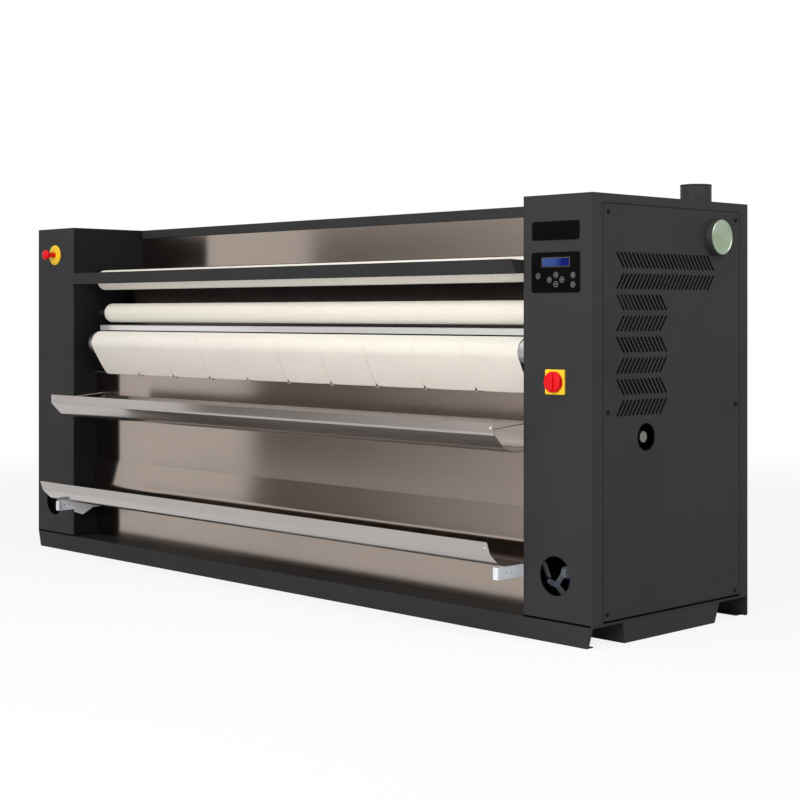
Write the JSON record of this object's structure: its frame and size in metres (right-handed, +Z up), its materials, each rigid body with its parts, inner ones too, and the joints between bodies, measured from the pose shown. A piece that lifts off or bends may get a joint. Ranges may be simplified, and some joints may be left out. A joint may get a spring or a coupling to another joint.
{
  "type": "flatwork ironer",
  "caption": "Free-standing flatwork ironer: heated cylinder between two end cabinets, front feed belts, cloth apron and two linen trays on a channel base.",
  "frame": {"origin": "bottom centre of the bounding box, on the floor", "axes": "+X towards the control end (operator's right), +Y from the operator's side to the rear, +Z up"},
  "size_m": [3.293, 1.0324, 1.522],
  "materials": {
    "coat": "anthracite powder coat, fine satin grain",
    "coat_inner": "dark powder coat",
    "stainless": "brushed stainless sheet",
    "zinc": "bright zinc plate",
    "steel": "turned steel",
    "drum": "polished heated drum",
    "cloth": "off-white woven cotton and needled felt",
    "safety_yellow": "yellow plastic",
    "safety_red": "red plastic",
    "black_plastic": "black membrane keypad",
    "motor_blue": "blue enamel"
  },
  "bodies": {
    "machine_frame": {"base_front_beam": "coat", "base_rear_beam": "coat", "base_left_member": "coat", "base_right_member": "coat", "right_cabinet_shell": "coat", "left_cabinet_shell": "coat", "exhaust_stub": "coat", "left_side_panel": "coat", "right_side_panel": "coat", "hood_cover": "coat", "rear_panel": "coat", "left_frame_plate": "coat_inner", "right_frame_plate": "coat_inner", "side_port": "stainless", "hood_front_panel": "stainless", "lower_front_panel": "stainless", "upper_tray": "stainless", "lower_tray": "stainless", "exit_plate": "stainless", "right_tray_bracket": "zinc", "left_tray_bracket": "zinc", "tension_lever": "zinc", "left_tray_stay": "steel", "right_tray_stay": "steel", "right_cylinder_bearing": "steel", "left_cylinder_bearing": "steel", "apron_nose_bar": "steel", "drive_chain": "steel", "tension_spring": "steel", "feed_belt": "cloth", "ironing_blanket": "cloth", "apron_belt_1": "cloth", "apron_belt_2": "cloth", "apron_belt_3": "cloth", "apron_belt_4": "cloth", "apron_belt_5": "cloth", "apron_belt_6": "cloth", "apron_belt_7": "cloth", "apron_belt_8": "cloth", "apron_belt_9": "cloth", "apron_belt_10": "cloth", "estop_collar": "safety_yellow", "isolator_plate": "safety_yellow", "control_panel": "black_plastic", "gearmotor": "motor_blue"},
    "drum": {"heated_cylinder": "drum", "cylinder_sprocket": "steel"},
    "feed_conveyor_roller": {"feed_roller": "steel"},
    "feed_rear_roller": {"feed_nip_roller": "steel"},
    "exit_cloth_roller": {"exit_roller": "cloth"},
    "apron_drive_roller": {"apron_roller": "steel"},
    "blanket_roller_top": {"blanket_top_roller": "steel"},
    "blanket_roller_exit": {"blanket_exit_roller": "steel"},
    "blanket_roller_lower": {"blanket_lower_roller": "steel"},
    "blanket_roller_rear": {"blanket_rear_roller": "steel"},
    "motor_output": {"motor_sprocket": "steel"},
    "hand_crank_shaft": {"crank_shaft": "steel"},
    "guard": {"finger_guard": "coat"},
    "estop_head": {"estop_button": "safety_red"},
    "isolator_handle": {"isolator_knob": "safety_red"}
  },
  "joints": [
    {"name": "cylinder_spin", "type": "hinge", "parent": "machine_frame", "child": "drum", "pos_m": [1.3235, 0.05721, 1.04], "axis": [-1, 0, 0], "continuous": true},
    {"name": "feed_roller_spin", "type": "hinge", "parent": "machine_frame", "child": "feed_conveyor_roller", "pos_m": [1.3235, -0.21579, 1.216], "axis": [-1, 0, 0], "continuous": true},
    {"name": "feed_nip_roller_spin", "type": "hinge", "parent": "machine_frame", "child": "feed_rear_roller", "pos_m": [1.3235, -0.09779, 1.237], "axis": [-1, 0, 0], "continuous": true},
    {"name": "exit_roller_spin", "type": "hinge", "parent": "machine_frame", "child": "exit_cloth_roller", "pos_m": [1.3235, -0.18979, 1.069], "axis": [-1, 0, 0], "continuous": true},
    {"name": "apron_roller_spin", "type": "hinge", "parent": "machine_frame", "child": "apron_drive_roller", "pos_m": [1.3235, -0.24779, 0.936], "axis": [-1, 0, 0], "continuous": true},
    {"name": "blanket_top_roller_spin", "type": "hinge", "parent": "machine_frame", "child": "blanket_roller_top", "pos_m": [1.3235, 0.07721, 1.28], "axis": [-1, 0, 0], "continuous": true},
    {"name": "blanket_exit_roller_spin", "type": "hinge", "parent": "machine_frame", "child": "blanket_roller_exit", "pos_m": [1.3235, -0.14879, 0.9215], "axis": [-1, 0, 0], "continuous": true},
    {"name": "blanket_lower_roller_spin", "type": "hinge", "parent": "machine_frame", "child": "blanket_roller_lower", "pos_m": [1.3235, 0.17721, 0.77], "axis": [-1, 0, 0], "continuous": true},
    {"name": "blanket_rear_roller_spin", "type": "hinge", "parent": "machine_frame", "child": "blanket_roller_rear", "pos_m": [1.3235, 0.33721, 1.19], "axis": [-1, 0, 0], "continuous": true},
    {"name": "motor_spin", "type": "hinge", "parent": "machine_frame", "child": "motor_output", "pos_m": [1.3745, -0.10279, 0.15], "axis": [-1, 0, 0], "continuous": true},
    {"name": "crank_spin", "type": "hinge", "parent": "machine_frame", "child": "hand_crank_shaft", "pos_m": [1.3745, -0.07379, 0.661], "axis": [-1, 0, 0], "continuous": true},
    {"name": "guard_lift", "type": "hinge", "parent": "machine_frame", "child": "guard", "pos_m": [-0.0135, -0.29779, 1.22], "axis": [-1, 0, 0], "range_deg": [0, 15]},
    {"name": "estop_press", "type": "slide", "parent": "machine_frame", "child": "estop_head", "axis": [0, 1, 0], "range_m": [0, 0.006]},
    {"name": "isolator_turn", "type": "hinge", "parent": "machine_frame", "child": "isolator_handle", "pos_m": [1.4665, -0.36279, 0.844], "axis": [0, 1, 0], "range_deg": [0, 90]}
  ],
  "couplings": [
    {"joint": "feed_roller_spin", "follows": "cylinder_spin", "ratio": 4.8179},
    {"joint": "feed_nip_roller_spin", "follows": "cylinder_spin", "ratio": 9.5128},
    {"joint": "exit_roller_spin", "follows": "cylinder_spin", "ratio": 4.881},
    {"joint": "apron_roller_spin", "follows": "cylinder_spin", "ratio": -4.0837},
    {"joint": "blanket_top_roller_spin", "follows": "cylinder_spin", "ratio": -6.9396},
    {"joint": "blanket_exit_roller_spin", "follows": "cylinder_spin", "ratio": -7.7164},
    {"joint": "blanket_lower_roller_spin", "follows": "cylinder_spin", "ratio": -6.9396},
    {"joint": "blanket_rear_roller_spin", "follows": "cylinder_spin", "ratio": -6.9396},
    {"joint": "motor_spin", "follows": "cylinder_spin", "ratio": 2.5},
    {"joint": "crank_spin", "follows": "cylinder_spin", "ratio": 3}
  ]
}
